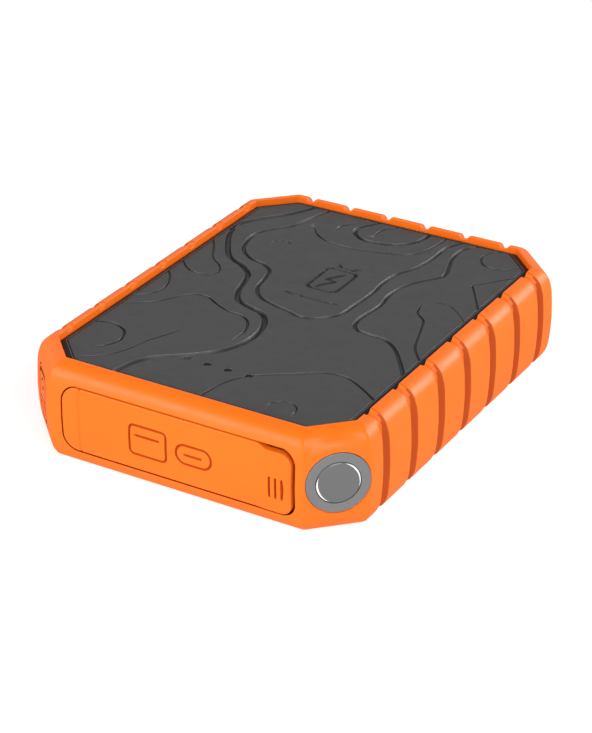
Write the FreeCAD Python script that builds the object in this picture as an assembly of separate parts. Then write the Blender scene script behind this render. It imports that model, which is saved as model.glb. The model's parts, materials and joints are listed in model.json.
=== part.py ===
import FreeCAD, Part
import math
import os

# Rugged power bank, millimetres. +X is the right end seen from the USB door, -Y is
# the door side, +Z is up, and the origin is the middle of the footprint.

# Outline: the rim crest is a rectangle with 45-degree corners. Every other outline
# is that octagon moved outward by an offset s.
HEIGHT = 27.8
CREST_X = 45.5
CREST_Y = 59.8
CORNER_LEG = 9.5

# Outer skin of the bumper as (offset, height), from the base to the rim crest.
SKIN = [(2.4, 0.0), (3.35, 0.9), (4.4, 3.2), (4.82, 5.8), (5.05, 9.0), (5.2, 12.8), (5.08, 16.2),
        (4.85, 20.3), (4.55, 22.5), (3.72, 25.0), (2.37, 26.6), (0.95, 27.4), (-0.3, 27.8)]
LIP_INNER = -0.7

# Casing: a deep tub closed by a lid, held in the bumper by its top and bottom lips.
CASE_S = 1.6
CASE_TOP_S = 0.3
CASE_WALL_TOP = 23.6
CASE_IN_S = -1.2
CASE_BASE = 1.2
CASE_SHOULDER = 25.2
FLOOR_FACE = 0.6
FLOOR_TOP = 2.8
LID_SPLIT = 21.5
LID_UNDER = 24.9
LID_EDGE = 25.6
LID_FACE = 26.45
LID_BEVEL_S = -3.1

# Grip grooves: seven on each long side, six on the back.
GROOVE_TOP = 3.6
GROOVE_FLOOR = 1.8
GROOVE_DEPTH = 1.5
SIDE_PITCH = 14.9
SIDE_COUNT = 7
BACK_PITCH = 12.65
BACK_COUNT = 6

# USB door and the recess behind it.
HINGE_X = -28.5
DOOR_RIGHT = 34.9
DOOR_TOP = 22.6
DOOR_BOTTOM = 4.3
DOOR_IN_S = 2.9
GRIP_X = 26.4
GRIP_DROP = 1.0
GRIP_SLOTS = (28.7, 30.5, 32.3)
GRIP_SLOT_Z = (8.6, 14.6)
TAB_LEFT = -33.7
POCKET_S = 2.6
ENGRAVED_S = 4.7
GAP = 0.3
END_GAP = 1.0
WINDOW = (-25.3, 31.0, 6.6, 20.2)
SEAL_FIT = 0.4
SEAL_WALL = 1.2

# Ports, standing on the main board.
BOARD_TOP = 10.35
BOARD_THICK = 1.6
BOARD = (-27.0, 30.0, -56.7, -31.0)
FRAME_THICK = 1.6
USB_A_SIZE = (13.1, 5.7, 12.0)
USB_C_SIZE = (8.94, 3.26, 7.5)
PORT_WALL = 0.3
USB_A_X = (0.5, 18.5)
USB_C_X = -16.0

# Corner modules: a torch on the right front corner and a button on the left one.
CORNER_X = CREST_X - CORNER_LEG / 2
CORNER_Y = -(CREST_Y - CORNER_LEG / 2)
TORCH_Z = 14.05
TORCH_R = 8.4
TORCH_SHIFT = 0.27
LENS_R = 5.8
LENS_DOME = 22.0
TUBE_R = 5.9
BUTTON_Z = 13.8
BUTTON_W = 10.4
BUTTON_H = 15.6
BUTTON_RIBS = (-3.6, -1.8, 0.0, 1.8)
BUTTON_IN_S = 2.8
STEM_R = 2.0
STEM_FIT = 0.08

# Charge indicator.
LED_X = (-9.95, -3.7, 2.55, 8.85)
LED_Y = -41.85
PIPE_R = 1.1
PIPE_SUNK = 0.5

# Battery and fasteners.
CELL_X = 34.0
CELL_Y = (-27.0, 55.0)
CELL_THICK = 9.5
FOAM = 0.6
LEAD_R = 0.7
TORCH_LEAD_R = 0.4
TORCH_LEAD_END = (28.6, -45.0)
BOSSES = ((40.0, 50.5), (-40.0, 50.5), (41.2, -37.0), (-41.2, -37.0))
POSTS = ((-24.0, -34.0), (27.0, -34.0), (-24.0, -53.7), (27.0, -53.7))
SCREW_R = 1.25
REACH = 80.0

SHAPES = {}


# ---------------------------------------------------------------- helpers

def front_y(s):
    """Y of the front face at offset s."""
    return -(CREST_Y + s)


def octagon(s, z):
    """Closed octagon at offset s and height z."""
    hx = CREST_X + s
    hy = CREST_Y + s
    diagonal = CREST_X + CREST_Y - CORNER_LEG + math.sqrt(2) * s
    a = diagonal - hy
    b = diagonal - hx
    xy = [(hx, -b), (hx, b), (a, hy), (-a, hy), (-hx, b), (-hx, -b), (-a, -hy), (a, -hy)]
    points = [FreeCAD.Vector(x, y, z) for x, y in xy]
    return Part.makePolygon(points + points[:1])


def stack(levels):
    """Solid through octagons given as (offset, height)."""
    return Part.makeLoft([octagon(s, z) for s, z in levels], True, True)


def box(x0, x1, y0, y1, z0, z1):
    return Part.makeBox(x1 - x0, y1 - y0, z1 - z0, FreeCAD.Vector(x0, y0, z0))


def rod(x, y, z0, z1, r):
    return Part.makeCylinder(r, z1 - z0, FreeCAD.Vector(x, y, z0))


def rounded(width, height, radius, low, high):
    """Rounded rectangle in local XY, centred, running along local Z."""
    body = box(-width / 2, width / 2, -height / 2, height / 2, low, high)
    upright = [e for e in body.Edges if abs(e.tangentAt(e.FirstParameter).z) > 0.9]
    return body.makeFillet(radius, upright)


def spin(section):
    """Solid turned about local Z from (radius, height) points."""
    points = [FreeCAD.Vector(r, 0, z) for r, z in section]
    face = Part.Face(Part.makePolygon(points + points[:1]))
    return face.revolve(FreeCAD.Vector(0, 0, 0), FreeCAD.Vector(0, 0, 1), 360)


def facing(shape, turn, x, y, z):
    """Stand local Z outward from the front, turned about the vertical by turn degrees."""
    upright = FreeCAD.Rotation(FreeCAD.Vector(1, 0, 0), 90)
    turned = FreeCAD.Rotation(FreeCAD.Vector(0, 0, 1), turn).multiply(upright)
    placed = shape.copy()
    placed.Placement = FreeCAD.Placement(FreeCAD.Vector(x, y, z), turned).multiply(shape.Placement)
    return placed


def at_torch(shape):
    return facing(shape, 45, CORNER_X + TORCH_SHIFT, CORNER_Y + TORCH_SHIFT, TORCH_Z)


def at_button(shape):
    return facing(shape, -45, -CORNER_X, CORNER_Y, BUTTON_Z)


def on_front(shape, x, z):
    """Local Z = 0 at the front face of the port frame."""
    return facing(shape, 0, x, front_y(CASE_IN_S), z)


def wire_run(points, leave, arrive, r):
    """Round wire through points, square to the face it leaves and the face it meets."""
    path = Part.BSplineCurve()
    path.interpolate(Points=[FreeCAD.Vector(*p) for p in points],
                     InitialTangent=FreeCAD.Vector(*leave), FinalTangent=FreeCAD.Vector(*arrive))
    edge = path.toShape()
    start = edge.valueAt(edge.FirstParameter)
    along = edge.tangentAt(edge.FirstParameter)
    circle = Part.Wire(Part.makeCircle(r, start, along))
    return Part.Wire(edge).makePipeShell([circle], True, False)


def joined(shapes):
    first = shapes[0]
    return first.fuse(shapes[1:]).removeSplitter()


# ---------------------------------------------------------------- bumper

def case_wall():
    """Outside of the casing between the bumper's two lips."""
    wall = [(CASE_S, FLOOR_TOP), (CASE_S, CASE_WALL_TOP)]
    return stack([(0.0, CASE_BASE)] + wall + [(CASE_TOP_S, CASE_SHOULDER)])


def offset_skin(depth):
    """The skin outline moved inward by depth."""
    moved = []
    for i, (s, z) in enumerate(SKIN):
        before = SKIN[max(i - 1, 0)]
        after = SKIN[min(i + 1, len(SKIN) - 1)]
        ds = after[0] - before[0]
        dz = after[1] - before[1]
        length = math.hypot(ds, dz)
        moved.append((s - depth * dz / length, z + depth * ds / length))
    return moved


def groove_section(depth, y):
    """Section of a groove cutter on the +X side, open to the outside."""
    outline = offset_skin(depth)
    tail = [(REACH - CREST_X, outline[-1][1] + 3), (REACH - CREST_X, outline[0][1] - 3)]
    head = [(outline[-1][0] - 3, outline[-1][1] + 0.3), (outline[-1][0] - 3, outline[-1][1] + 3)]
    points = [FreeCAD.Vector(CREST_X + s, y, z) for s, z in outline[1:] + head + tail]
    return Part.makePolygon(points + points[:1])


def groove_cutter():
    """Trapezoid groove across the +X side at y = 0."""
    half_top = GROOVE_TOP / 2
    half_floor = GROOVE_FLOOR / 2
    stations = [(0.0, -half_top), (GROOVE_DEPTH, -half_floor), (GROOVE_DEPTH, half_floor), (0.0, half_top)]
    return Part.makeLoft([groove_section(d, y) for d, y in stations], True, True)


def all_grooves():
    cutter = groove_cutter()
    cutters = []
    for i in range(SIDE_COUNT):
        y = (i - (SIDE_COUNT - 1) / 2) * SIDE_PITCH
        right = cutter.translated(FreeCAD.Vector(0, y, 0))
        cutters.append(right)
        cutters.append(right.mirror(FreeCAD.Vector(0, 0, 0), FreeCAD.Vector(1, 0, 0)))
    end = cutter.copy()
    end.rotate(FreeCAD.Vector(0, 0, 0), FreeCAD.Vector(0, 0, 1), 90)
    for i in range(BACK_COUNT):
        x = (i - (BACK_COUNT - 1) / 2) * BACK_PITCH
        cutters.append(end.translated(FreeCAD.Vector(x, CREST_Y - CREST_X, 0)))
    return cutters


def front_pad(x0, x1, z0, z1, radius, s0, s1):
    """Rounded rectangle on the front face between offsets s0 and s1."""
    pad = rounded(x1 - x0, z1 - z0, radius, -front_y(s0), -front_y(s1))
    return facing(pad, 0, (x0 + x1) / 2, 0, (z0 + z1) / 2)


def make_bumper():
    body = stack(SKIN)
    hollow = [
        case_wall(),
        stack([(LIP_INNER, -1.0), (LIP_INNER, CASE_BASE + 0.1)]),
        stack([(LIP_INNER, CASE_SHOULDER - 0.1), (LIP_INNER, HEIGHT + 0.01)]),
    ]
    body = body.cut(hollow)
    body = body.cut(all_grooves())
    x0, x1, z0, z1 = WINDOW
    left = TAB_LEFT - GAP
    right = DOOR_RIGHT + END_GAP
    body = body.cut([
        front_pad(left, right, DOOR_BOTTOM - GAP, DOOR_TOP + GAP, 4.5, POCKET_S, 9.0),
        front_pad(x0, x1, z0, z1, 2.0, CASE_IN_S, 9.0),
        at_torch(Part.makeCylinder(TORCH_R + 0.05, 10, FreeCAD.Vector(0, 0, CASE_S - 1.0))),
        at_button(rounded(BUTTON_W + 2 * GAP, BUTTON_H + 2 * GAP, 2.8, CASE_S - 1.0, 9.0)),
    ])
    return max(body.Solids, key=lambda solid: solid.Volume)


# ---------------------------------------------------------------- casing

def casing_block():
    return joined([
        case_wall(),
        stack([(LIP_INNER, FLOOR_FACE), (LIP_INNER, CASE_BASE + 0.1)]),
        stack([(LIP_INNER, CASE_SHOULDER - 0.1), (LIP_INNER, LID_EDGE), (LID_BEVEL_S, LID_FACE)]),
    ])


def gasket_band():
    return stack([(0.5, LID_SPLIT - 1), (0.5, LID_SPLIT)]).cut(
        stack([(-0.5, LID_SPLIT - 2), (-0.5, LID_SPLIT + 1)]))


def make_tub():
    block = casing_block().common(box(-REACH, REACH, -REACH, REACH, 0, LID_SPLIT))
    body = block.cut(stack([(CASE_IN_S, FLOOR_TOP), (CASE_IN_S, LID_SPLIT + 1)]))
    added = [rod(x, y, FLOOR_TOP - 0.5, LID_SPLIT, 3.2) for x, y in BOSSES]
    added += [rod(x, y, FLOOR_TOP - 0.5, BOARD_TOP - BOARD_THICK, 2.2) for x, y in POSTS]
    for side in (-1, 1):
        inner = side * (CELL_X + 0.2)
        outer = side * (CELL_X + 1.4)
        added.append(box(min(inner, outer), max(inner, outer), -20, 40, FLOOR_TOP - 0.5, 9))
    rest = box(-4.5, 4.5, FLOOR_TOP - 0.5 - BUTTON_Z, 18 - BUTTON_Z, -10.2, -8.6)
    added.append(at_button(rest))
    body = joined([body] + added)
    body = body.common(block)
    x0, x1, z0, z1 = WINDOW
    cuts = [front_pad(x0, x1, z0, z1, 2.0, CASE_IN_S - 1.0, 9.0), gasket_band()]
    cuts += [rod(x, y, 0, LID_SPLIT + 1, 1.4) for x, y in BOSSES]
    cuts += [rod(x, y, 0, 3.0, 2.5) for x, y in BOSSES]
    cuts += [rod(x, y, 4.0, BOARD_TOP, 0.95) for x, y in POSTS]
    cuts.append(at_torch(Part.makeCylinder(TUBE_R + 0.05, 12, FreeCAD.Vector(0, 0, -6))))
    cuts.append(at_button(Part.makeCylinder(STEM_R + STEM_FIT, 9, FreeCAD.Vector(0, 0, -5))))
    return body.cut(cuts)


def make_lid():
    block = casing_block().common(box(-REACH, REACH, -REACH, REACH, LID_SPLIT, HEIGHT))
    body = block.cut(stack([(CASE_IN_S, LID_SPLIT - 1), (CASE_IN_S, LID_UNDER)]))
    body = joined([body] + [rod(x, y, LID_SPLIT, LID_UNDER + 0.5, 2.8) for x, y in BOSSES])
    body = body.common(block)
    cuts = [rod(x, y, LID_SPLIT - 1, 24.0, SCREW_R + 0.02) for x, y in BOSSES]
    cuts += [rod(x, LED_Y, LID_SPLIT, HEIGHT, PIPE_R + 0.02) for x in LED_X]
    return body.cut(cuts)


def cross_recess(x, y, z, size):
    half = size / 2
    return [box(x - half, x + half, y - 0.3, y + 0.3, z - 0.8, z),
            box(x - 0.3, x + 0.3, y - half, y + half, z - 0.8, z)]


def case_screw(x, y):
    body = joined([rod(x, y, 1.4, 3.0, 2.3), rod(x, y, 2.9, 23.5, SCREW_R)])
    return body.cut(cross_recess(x, y, 2.2, 2.8))


def board_screw(x, y):
    body = joined([rod(x, y, BOARD_TOP, BOARD_TOP + 1.3, 1.8), rod(x, y, 4.5, BOARD_TOP + 0.1, 0.9)])
    return body.cut(cross_recess(x, y, BOARD_TOP + 1.3, 2.2))


def make_casing():
    SHAPES["bottom_shell"] = make_tub()
    SHAPES["top_shell"] = make_lid()
    SHAPES["shell_gasket"] = gasket_band()
    SHAPES["shell_screws"] = Part.makeCompound([case_screw(x, y) for x, y in BOSSES])


# ---------------------------------------------------------------- USB door

def skin_pad(x0, x1, z0, z1, radius, s0):
    return stack(SKIN).common(front_pad(x0, x1, z0, z1, radius, s0, 9.0))


def outline_cut(x, z, width, height, radius, stroke):
    """Engraved outline of a rounded rectangle on the door face."""
    outer = rounded(width, height, radius, 0, 9)
    inner = rounded(width - 2 * stroke, height - 2 * stroke, radius - stroke, -1, 10)
    return facing(outer.cut(inner), 0, x, front_y(ENGRAVED_S), z)


def make_door():
    right = skin_pad(GRIP_X - 12, DOOR_RIGHT, DOOR_BOTTOM, DOOR_TOP - GRIP_DROP, 3.0, DOOR_IN_S)
    left = skin_pad(HINGE_X + GAP / 2, GRIP_X, DOOR_BOTTOM, DOOR_TOP, 0.2, DOOR_IN_S)
    body = joined([left, right])
    cuts = [outline_cut(-7.3, 13.2, 11.0, 8.4, 1.3, 0.5), outline_cut(6.5, 13.2, 10.4, 5.4, 2.6, 0.5)]
    z0, z1 = GRIP_SLOT_Z
    cuts += [box(x - 0.25, x + 0.25, front_y(9.0), front_y(ENGRAVED_S), z0, z1) for x in GRIP_SLOTS]
    SHAPES["usb_door"] = body.cut(cuts)
    make_door_seal()
    tab = skin_pad(TAB_LEFT, HINGE_X + 8, DOOR_BOTTOM, DOOR_TOP, 4.4, POCKET_S)
    SHAPES["door_hinge_tab"] = tab.common(box(-REACH, HINGE_X - GAP / 2, -REACH, 0, 0, HEIGHT))


def make_door_seal():
    x0, x1, z0, z1 = [v + d for v, d in zip(WINDOW, (SEAL_FIT, -SEAL_FIT, SEAL_FIT, -SEAL_FIT))]
    rim = front_pad(x0, x1, z0, z1, 1.6, 1.4, DOOR_IN_S)
    hole = front_pad(x0 + SEAL_WALL, x1 - SEAL_WALL, z0 + SEAL_WALL, z1 - SEAL_WALL, 0.6, 1.0, DOOR_IN_S + 1)
    SHAPES["door_seal"] = rim.cut(hole)


# ---------------------------------------------------------------- ports and board

def port_shell(size, radius):
    width, height, depth = size
    outer = rounded(width, height, radius, -depth, -0.2)
    inner = rounded(width - 2 * PORT_WALL, height - 2 * PORT_WALL, radius - PORT_WALL, -depth + PORT_WALL, 1)
    return outer.cut(inner)


def make_ports():
    a_z = BOARD_TOP + USB_A_SIZE[1] / 2
    c_z = BOARD_TOP + USB_C_SIZE[1] / 2
    x0, x1, z0, z1 = WINDOW
    plate = rounded(x1 - x0 + 3.4, z1 - z0 + 2.4, 2.4, -FRAME_THICK, 0)
    frame = on_front(plate, (x0 + x1) / 2, (z0 + z1) / 2)
    for i, x in enumerate(USB_A_X):
        hole = rounded(USB_A_SIZE[0] + 0.2, USB_A_SIZE[1] + 0.2, 0.6, -4, 1)
        frame = frame.cut(on_front(hole, x, a_z))
        SHAPES["usb_a_port_%d" % (i + 1)] = on_front(port_shell(USB_A_SIZE, 0.6), x, a_z)
        tongue = box(-5.55, 5.55, 0.35, 2.15, -USB_A_SIZE[2] + PORT_WALL, -1.2)
        SHAPES["usb_a_tongue_%d" % (i + 1)] = on_front(tongue, x, a_z)
    hole = rounded(USB_C_SIZE[0] + 0.2, USB_C_SIZE[1] + 0.2, 1.7, -4, 1)
    SHAPES["port_frame"] = frame.cut(on_front(hole, USB_C_X, c_z))
    SHAPES["usb_c_port"] = on_front(port_shell(USB_C_SIZE, 1.6), USB_C_X, c_z)
    tongue = box(-3.35, 3.35, -0.35, 0.35, -USB_C_SIZE[2] + PORT_WALL, -1.0)
    SHAPES["usb_c_tongue"] = on_front(tongue, USB_C_X, c_z)


def make_board():
    x0, x1, y0, y1 = BOARD
    board = box(x0, x1, y0, y1, BOARD_TOP - BOARD_THICK, BOARD_TOP)
    SHAPES["main_board"] = board.cut([rod(x, y, 0, HEIGHT, 1.0) for x, y in POSTS])
    SHAPES["board_screws"] = Part.makeCompound([board_screw(x, y) for x, y in POSTS])
    base = box(15, 23, -40, -32, BOARD_TOP, BOARD_TOP + 1)
    SHAPES["power_inductor"] = joined([base, rod(19, -36, BOARD_TOP, BOARD_TOP + 4.5, 3.8)])
    SHAPES["charge_controller_chip"] = box(-14, -9, -38, -33, BOARD_TOP, BOARD_TOP + 0.9)
    SHAPES["boost_converter_chip"] = box(5, 10, -38, -33, BOARD_TOP, BOARD_TOP + 0.9)
    cans = [rod(x, -36, BOARD_TOP, BOARD_TOP + 7.7, 3.0) for x in (-4.0, -19.0)]
    SHAPES["storage_capacitors"] = Part.makeCompound(cans)
    for i, x in enumerate(LED_X):
        package = box(x - 0.8, x + 0.8, LED_Y - 0.4, LED_Y + 0.4, BOARD_TOP, BOARD_TOP + 0.6)
        SHAPES["charge_led_%d" % (i + 1)] = package
        pipe = rod(x, LED_Y, BOARD_TOP + 0.8, LID_FACE - PIPE_SUNK, PIPE_R)
        collar = rod(x, LED_Y, LID_UNDER - 0.8, LID_UNDER, 1.7)
        SHAPES["led_light_pipe_%d" % (i + 1)] = joined([pipe, collar])


# ---------------------------------------------------------------- battery

def make_battery():
    y0, y1 = CELL_Y
    z = FLOOR_TOP
    room = LID_UNDER - FLOOR_TOP - 2 * (CELL_THICK + FOAM)
    layers = [("cell_foam_lower", FOAM), ("cell_lower", CELL_THICK), ("cell_foam_middle", FOAM),
              ("cell_upper", CELL_THICK), ("cell_foam_upper", room)]
    for name, thick in layers:
        inset = 0.0 if name in ("cell_lower", "cell_upper") else 3.0
        slab = box(-CELL_X + inset, CELL_X - inset, y0 + inset, y1 - inset, z, z + thick)
        if not inset:
            slab = slab.makeFillet(1.5, slab.Edges)
        SHAPES[name] = slab
        z += thick
    SHAPES["protection_board"] = box(-17, 17, y0 - 2.4, y0 - 1.4, 6, 21)
    strips = [box(x - 2.5, x + 2.5, y0 - 1.4, y0, level, level + 0.3)
              for x in (-12, 12) for level in (8.0, 18.0)]
    SHAPES["cell_tabs"] = Part.makeCompound(strips)
    for side, name in ((-1, "battery_lead_negative"), (1, "battery_lead_positive")):
        x = 1.0 * side
        points = [(x, y0 - 2.4, 14.0), (x, y0 - 4.9, 13.0), (x, y0 - 5.6, BOARD_TOP)]
        SHAPES[name] = wire_run(points, (0, -3, 0), (0, 0, -3), LEAD_R)


# ---------------------------------------------------------------- torch and button

def make_torch():
    bore = LENS_R + 0.05
    bezel = spin([(bore, 5.2), (TORCH_R, 5.2), (TORCH_R, CASE_S), (TUBE_R, CASE_S), (TUBE_R, -3.2),
                  (5.3, -3.2), (5.3, 3.0), (6.2, 3.0), (6.2, 3.9), (bore, 3.9)])
    seal = spin([(6.3, CASE_S), (7.0, CASE_S), (7.0, CASE_S + 0.6), (6.3, CASE_S + 0.6)])
    SHAPES["torch_bezel"] = at_torch(bezel.cut(seal))
    SHAPES["torch_o_ring"] = at_torch(seal)
    lens = Part.makeCylinder(LENS_R, 2.0, FreeCAD.Vector(0, 0, 3.1))
    ball = Part.makeSphere(LENS_DOME, FreeCAD.Vector(0, 0, 5.1 - LENS_DOME))
    flange = Part.makeCylinder(6.15, 0.9, FreeCAD.Vector(0, 0, 3.0))
    SHAPES["torch_lens"] = at_torch(joined([lens.common(ball), flange]))
    cone = [(4.9, 3.0), (5.25, 3.0), (5.25, 2.0), (2.7, -2.4), (2.0, -2.4)]
    SHAPES["torch_reflector"] = at_torch(spin(cone))
    SHAPES["torch_led_board"] = at_torch(Part.makeCylinder(5.2, 1.0, FreeCAD.Vector(0, 0, -4.0)))
    dome = Part.makeSphere(1.3, FreeCAD.Vector(0, 0, -2.4))
    base = box(-1.7, 1.7, -1.7, 1.7, -3.0, -2.5)
    SHAPES["torch_led"] = at_torch(joined([base, dome.common(box(-2, 2, -2, 2, -2.6, 0))]))
    for side, name in ((-1, "torch_lead_negative"), (1, "torch_lead_positive")):
        start = at_torch(Part.Vertex(1.6 * side, -2.0, -4.0)).Point
        x, y = TORCH_LEAD_END
        points = [(start.x, start.y, start.z), (x, y + 1.6 * side, BOARD_TOP)]
        SHAPES[name] = wire_run(points, (-3, 3, 0), (0, 0, -4), TORCH_LEAD_R)


def make_button():
    pad = stack(SKIN).common(at_button(rounded(BUTTON_W, BUTTON_H, 2.5, BUTTON_IN_S, 9.0)))
    ribs = [at_button(box(-2.5, 2.5, z - 0.35, z + 0.35, ENGRAVED_S, 9.0)) for z in BUTTON_RIBS]
    SHAPES["torch_button"] = pad.cut(ribs)
    stem = Part.makeCylinder(STEM_R, BUTTON_IN_S + 2.2, FreeCAD.Vector(0, 0, -2.2))
    SHAPES["button_stem"] = at_button(stem)
    SHAPES["switch_actuator"] = at_button(Part.makeCylinder(1.6, 2.0, FreeCAD.Vector(0, 0, -4.2)))
    body = box(-3.1, 3.1, -3.1, 3.1, -7.0, -3.5)
    SHAPES["button_switch"] = at_button(body.cut(Part.makeCylinder(1.9, 2.0, FreeCAD.Vector(0, 0, -5.4))))
    SHAPES["button_board"] = at_button(box(-6, 6, -7, 7, -8.6, -7.0))


SHAPES["bumper"] = make_bumper()
make_casing()
make_door()
make_ports()
make_board()
make_battery()
make_torch()
make_button()
os.makedirs("parts", exist_ok=True)
for node, shape in SHAPES.items():
    shape.exportStep("parts/%s.step" % node)
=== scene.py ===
import json
import math

import bmesh
import bpy
import numpy as np
from mathutils import Matrix, Vector
from mathutils.geometry import delaunay_2d_cdt


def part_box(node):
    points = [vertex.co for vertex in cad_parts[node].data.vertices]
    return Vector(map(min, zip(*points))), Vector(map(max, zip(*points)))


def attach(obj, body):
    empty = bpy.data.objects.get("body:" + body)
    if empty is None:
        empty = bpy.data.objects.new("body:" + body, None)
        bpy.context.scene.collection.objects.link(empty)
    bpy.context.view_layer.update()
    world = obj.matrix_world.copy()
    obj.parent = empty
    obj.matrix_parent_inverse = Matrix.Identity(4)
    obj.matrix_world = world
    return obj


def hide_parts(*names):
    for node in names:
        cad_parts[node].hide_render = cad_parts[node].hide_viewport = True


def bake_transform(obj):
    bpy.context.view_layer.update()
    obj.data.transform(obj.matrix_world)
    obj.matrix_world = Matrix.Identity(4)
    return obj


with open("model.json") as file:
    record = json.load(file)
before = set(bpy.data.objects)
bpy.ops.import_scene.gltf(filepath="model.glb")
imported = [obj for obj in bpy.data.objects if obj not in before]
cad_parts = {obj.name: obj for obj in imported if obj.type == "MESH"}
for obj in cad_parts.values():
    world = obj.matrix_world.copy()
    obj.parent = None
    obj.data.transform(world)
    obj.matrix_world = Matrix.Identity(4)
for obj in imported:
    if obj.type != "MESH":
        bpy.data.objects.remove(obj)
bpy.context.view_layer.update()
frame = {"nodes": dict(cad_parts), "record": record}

# Shapes are worked out in millimetres in the frame of the CAD model and scaled to metres
# when a mesh is made. s is the outward offset from the octagon of the rim crest.
MM = 0.001


def box_mm(node):
    """Lowest and highest corner of a CAD node, in millimetres."""
    low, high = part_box(node)
    return np.array(low) / MM, np.array(high) / MM


BUMPER_HIGH = box_mm("bumper")[1]
DOOR_LOW, DOOR_HIGH = box_mm("usb_door")
TAB_LOW, TAB_HIGH = box_mm("door_hinge_tab")
LID_HIGH = box_mm("top_shell")[1]
TORCH_LOW, TORCH_HIGH = box_mm("torch_bezel")
BUTTON_LOW, BUTTON_HIGH = box_mm("torch_button")

HEIGHT = BUMPER_HIGH[2]
BULGE = 5.2
CREST_X = BUMPER_HIGH[0] - BULGE
CREST_Y = BUMPER_HIGH[1] - BULGE
CORNER_LEG = 9.5
CORNER_ROUND = 1.5
LID_FACE = LID_HIGH[2]
HINGE_X = (TAB_HIGH[0] + DOOR_LOW[0]) / 2
TORCH_Z = (TORCH_LOW[2] + TORCH_HIGH[2]) / 2
BUTTON_Z = (BUTTON_LOW[2] + BUTTON_HIGH[2]) / 2
TORCH_R = (TORCH_HIGH[2] - TORCH_LOW[2]) / 2
BUTTON_HALF = 5.2
CASE_S = 1.6
DOOR_IN_S = 2.9
POCKET_S = 2.6
GAP = 0.3
DIAGONAL = math.sqrt(0.5)
CUT_SHARE = 0.12


# ---- lines and meshes

def ease(t):
    """Smooth step from 0 to 1."""
    t = np.clip(t, 0, 1)
    return t * t * (3 - 2 * t)


def smooth_line(points, step, closed=False):
    """Catmull-Rom line through points, sampled about every step."""
    p = np.array(points, float)
    if closed:
        p = np.vstack([p[-1], p, p[0], p[1]])
    else:
        p = np.vstack([2 * p[0] - p[1], p, 2 * p[-1] - p[-2]])
    out = []
    for a, b, c, d in zip(p[:-3], p[1:-2], p[2:-1], p[3:]):
        n = max(2, int(np.linalg.norm(c - b) / step))
        t = (np.arange(n) / n)[:, None]
        out.append(0.5 * (2 * b + (c - a) * t + (2 * a - 5 * b + 4 * c - d) * t ** 2
                          + (3 * b - a - 3 * c + d) * t ** 3))
    if not closed:
        out.append(p[-2:-1])
    return np.vstack(out)


def normals_of(line, closed):
    """Unit normals, to the right of travel, of a line in the plane."""
    if closed:
        ahead = np.roll(line, -1, 0) - np.roll(line, 1, 0)
    else:
        ahead = np.gradient(line, axis=0)
    ahead = ahead / np.maximum(np.linalg.norm(ahead, axis=1), 1e-9)[:, None]
    return np.stack([ahead[:, 1], -ahead[:, 0]], 1)


def rounded_outline(x0, x1, z0, z1, radii, step=0.35):
    """Closed outline of a rectangle, anticlockwise from the lower left, one radius per corner."""
    corners = [(x0, z0, 1, 1, 180), (x1, z0, -1, 1, 270), (x1, z1, -1, -1, 0), (x0, z1, 1, -1, 90)]
    points = []
    for (x, z, dx, dz, start), r in zip(corners, radii):
        n = max(3, int(r * 1.6 / step))
        for a in np.radians(np.linspace(start, start + 90, n + 1)):
            points.append((x + dx * r + r * math.cos(a), z + dz * r + r * math.sin(a)))
    return fill_gaps(np.array(points), step)


def fill_gaps(line, step, closed=True):
    """Adds points on the straight stretches of a line."""
    after = np.roll(line, -1, 0) if closed else line[1:]
    out = []
    for a, b in zip(line, after):
        n = max(1, int(round(np.linalg.norm(b - a) / step)))
        out.append(a + (b - a) * (np.arange(n) / n)[:, None])
    if not closed:
        out.append(line[-1:])
    return np.vstack(out)


def distance_to(line, points, closed=False):
    """Distance of each point from a line, and how far along it the nearest place is."""
    a, b = (line, np.roll(line, -1, 0)) if closed else (line[:-1], line[1:])
    best = np.full(len(points), 1e9)
    where = np.zeros(len(points))
    lengths = np.linalg.norm(b - a, axis=1)
    starts = np.concatenate([[0], np.cumsum(lengths)[:-1]])
    for low in range(0, len(points), 4000):
        p = points[low:low + 4000, None, :]
        t = np.clip(((p - a) * (b - a)).sum(2) / np.maximum(lengths ** 2, 1e-12), 0, 1)
        d = np.linalg.norm(p - a - (b - a) * t[..., None], axis=2)
        i = d.argmin(1)
        rows = np.arange(len(i))
        best[low:low + 4000] = d[rows, i]
        where[low:low + 4000] = starts[i] + t[rows, i] * lengths[i]
    return best, where


def inside(outline, points):
    """True for points inside a closed outline."""
    x, y = points[:, 0], points[:, 1]
    result = np.zeros(len(points), bool)
    for a, b in zip(outline, np.roll(outline, -1, 0)):
        if a[1] == b[1]:
            continue
        crosses = (a[1] > y) != (b[1] > y)
        result ^= crosses & (x < (b[0] - a[0]) * (y - a[1]) / (b[1] - a[1]) + a[0])
    return result


def triangulate(outline, lines, loose):
    """Triangles of a flat region that keep every line as edges. Returns points and triangles."""
    verts, edges = [], []
    for line, closed in [(outline, True)] + lines:
        base = len(verts)
        verts += [Vector(p) for p in line]
        edges += [(base + i, base + i + 1) for i in range(len(line) - 1)]
        if closed:
            edges.append((base + len(line) - 1, base))
    verts += [Vector(p) for p in loose]
    points, _, faces, *_ = delaunay_2d_cdt(verts, edges, [], 0, 1e-4)
    points = np.array([tuple(p) for p in points])
    faces = np.array(faces)
    middle = points[faces].mean(1)
    return points, faces[inside(outline, middle)]


def add_object(name, data):
    obj = bpy.data.objects.new(name, data)
    bpy.context.scene.collection.objects.link(obj)
    return obj


def smooth_with_edges(mesh, sharp):
    mesh.shade_smooth()
    mesh.set_sharp_from_angle(angle=math.radians(sharp))


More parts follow.
